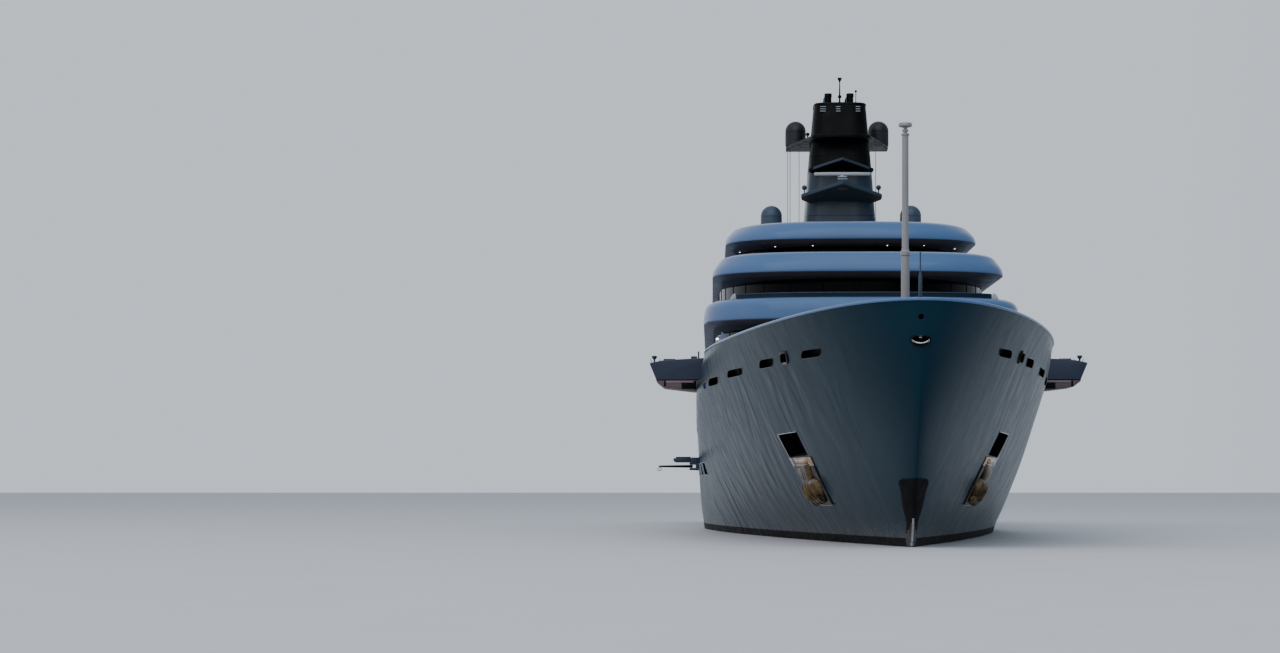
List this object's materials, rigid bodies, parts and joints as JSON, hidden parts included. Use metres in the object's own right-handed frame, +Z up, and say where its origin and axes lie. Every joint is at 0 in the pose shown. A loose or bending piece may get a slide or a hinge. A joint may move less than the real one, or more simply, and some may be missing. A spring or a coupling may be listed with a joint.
{
  "type": "motor yacht, scale model at 1:10",
  "caption": "Long motor yacht with a raked bow, rounded tiers of decks over dark glass, a mast tower with domes and radar, afloat at its waterline.",
  "frame": {"origin": "on the centreline amidships, at the waterline", "axes": "+Z up, bow along -Y, stern along +Y, port along +X, starboard along -X"},
  "size_m": [2.838, 14, 4.11],
  "materials": {
    "hull_paint": "high gloss slate grey topside enamel, dark boot-top and bottom paint",
    "white_paint": "high gloss pale grey superstructure enamel",
    "dark_glass": "black tinted glass, opaque in daylight",
    "black_paint": "satin black funnel enamel",
    "polished_steel": "mirror polished stainless steel",
    "bronze": "machined propeller bronze",
    "teak": "scrubbed teak planking with dark caulking",
    "dome_shell": "gel-coated radome"
  },
  "bodies": {
    "yacht": {"hull": "hull_paint", "stem_plate": "polished_steel", "bow_fairlead": "polished_steel", "anchor_plate_port": "polished_steel", "anchor_port": "polished_steel", "anchor_plate_starboard": "polished_steel", "anchor_starboard": "polished_steel", "foremast_base": "white_paint", "capstan_port": "polished_steel", "capstan_starboard": "polished_steel", "jackstaff": "black_paint", "deckhouse_main": "white_paint", "glass_main": "dark_glass", "deckhouse_upper": "white_paint", "glass_upper": "dark_glass", "deckhouse_bridge": "white_paint", "glass_bridge": "dark_glass", "glass_saloon": "dark_glass", "deck_upper": "white_paint", "deck_bridge": "white_paint", "deck_top": "white_paint", "deck_main_aft": "white_paint", "pillar_main_port": "polished_steel", "pillar_main_starboard": "polished_steel", "pillar_upper_port": "polished_steel", "pillar_upper_starboard": "polished_steel", "mast_tower": "white_paint", "funnel": "black_paint", "exhaust_port": "polished_steel", "exhaust_starboard": "polished_steel", "antenna": "black_paint", "radar_platform": "white_paint", "beak_platform": "white_paint", "dome_platform": "black_paint", "mast_dome_port": "dome_shell", "mast_dome_starboard": "dome_shell", "roof_dome_port": "dome_shell", "roof_dome_starboard": "dome_shell", "wing_station_port": "hull_paint", "wing_station_starboard": "hull_paint", "boom_bracket": "polished_steel", "platform_bracket": "polished_steel", "swim_platform": "teak", "steps_port": "teak", "steps_starboard": "teak", "shaft_port": "polished_steel", "shaft_starboard": "polished_steel", "stabiliser_port": "hull_paint", "stabiliser_starboard": "hull_paint"},
    "foremast": {"foremast": "white_paint"},
    "radar": {"radar_scanner": "white_paint"},
    "boom": {"boarding_boom": "polished_steel"},
    "side_platform": {"boarding_platform": "teak"},
    "door": {"transom_door": "hull_paint"},
    "propeller_port": {"propeller_port": "bronze"},
    "propeller_starboard": {"propeller_starboard": "bronze"},
    "rudder_port": {"rudder_port": "hull_paint"},
    "rudder_starboard": {"rudder_starboard": "hull_paint"}
  },
  "joints": [
    {"name": "foremast_fold", "type": "hinge", "parent": "yacht", "child": "foremast", "pos_m": [0, -5.8, 1.16], "axis": [-1, 0, 0], "range_deg": [0, 90]},
    {"name": "radar_spin", "type": "hinge", "parent": "yacht", "child": "radar", "pos_m": [0, 1.94, 2.745], "axis": [0, 0, 1], "continuous": true},
    {"name": "boom_swing", "type": "hinge", "parent": "yacht", "child": "boom", "pos_m": [-1.16, 0.16, 0.46], "axis": [0, 0, -1], "range_deg": [0, 88]},
    {"name": "platform_fold", "type": "hinge", "parent": "yacht", "child": "side_platform", "pos_m": [-1.145, -0.14, 0.5], "axis": [0, 1, 0], "range_deg": [0, 88]},
    {"name": "transom_door_lift", "type": "hinge", "parent": "yacht", "child": "door", "pos_m": [0, 5.956, 0.646], "axis": [1, 0, 0], "range_deg": [0, 90]},
    {"name": "propeller_port_spin", "type": "hinge", "parent": "yacht", "child": "propeller_port", "pos_m": [0.42, 5.61523, -0.41283], "axis": [0, 0.9987, -0.0512], "continuous": true},
    {"name": "propeller_starboard_spin", "type": "hinge", "parent": "yacht", "child": "propeller_starboard", "pos_m": [-0.42, 5.61523, -0.41283], "axis": [0, 0.9987, -0.0512], "continuous": true},
    {"name": "rudder_port_turn", "type": "hinge", "parent": "yacht", "child": "rudder_port", "pos_m": [0.42, 6.08, -0.3], "axis": [0, 0, 1], "range_deg": [-35, 35]},
    {"name": "rudder_starboard_turn", "type": "hinge", "parent": "yacht", "child": "rudder_starboard", "pos_m": [-0.42, 6.08, -0.3], "axis": [0, 0, 1], "range_deg": [-35, 35]}
  ],
  "couplings": [
    {"joint": "rudder_starboard_turn", "follows": "rudder_port_turn", "ratio": 1}
  ]
}
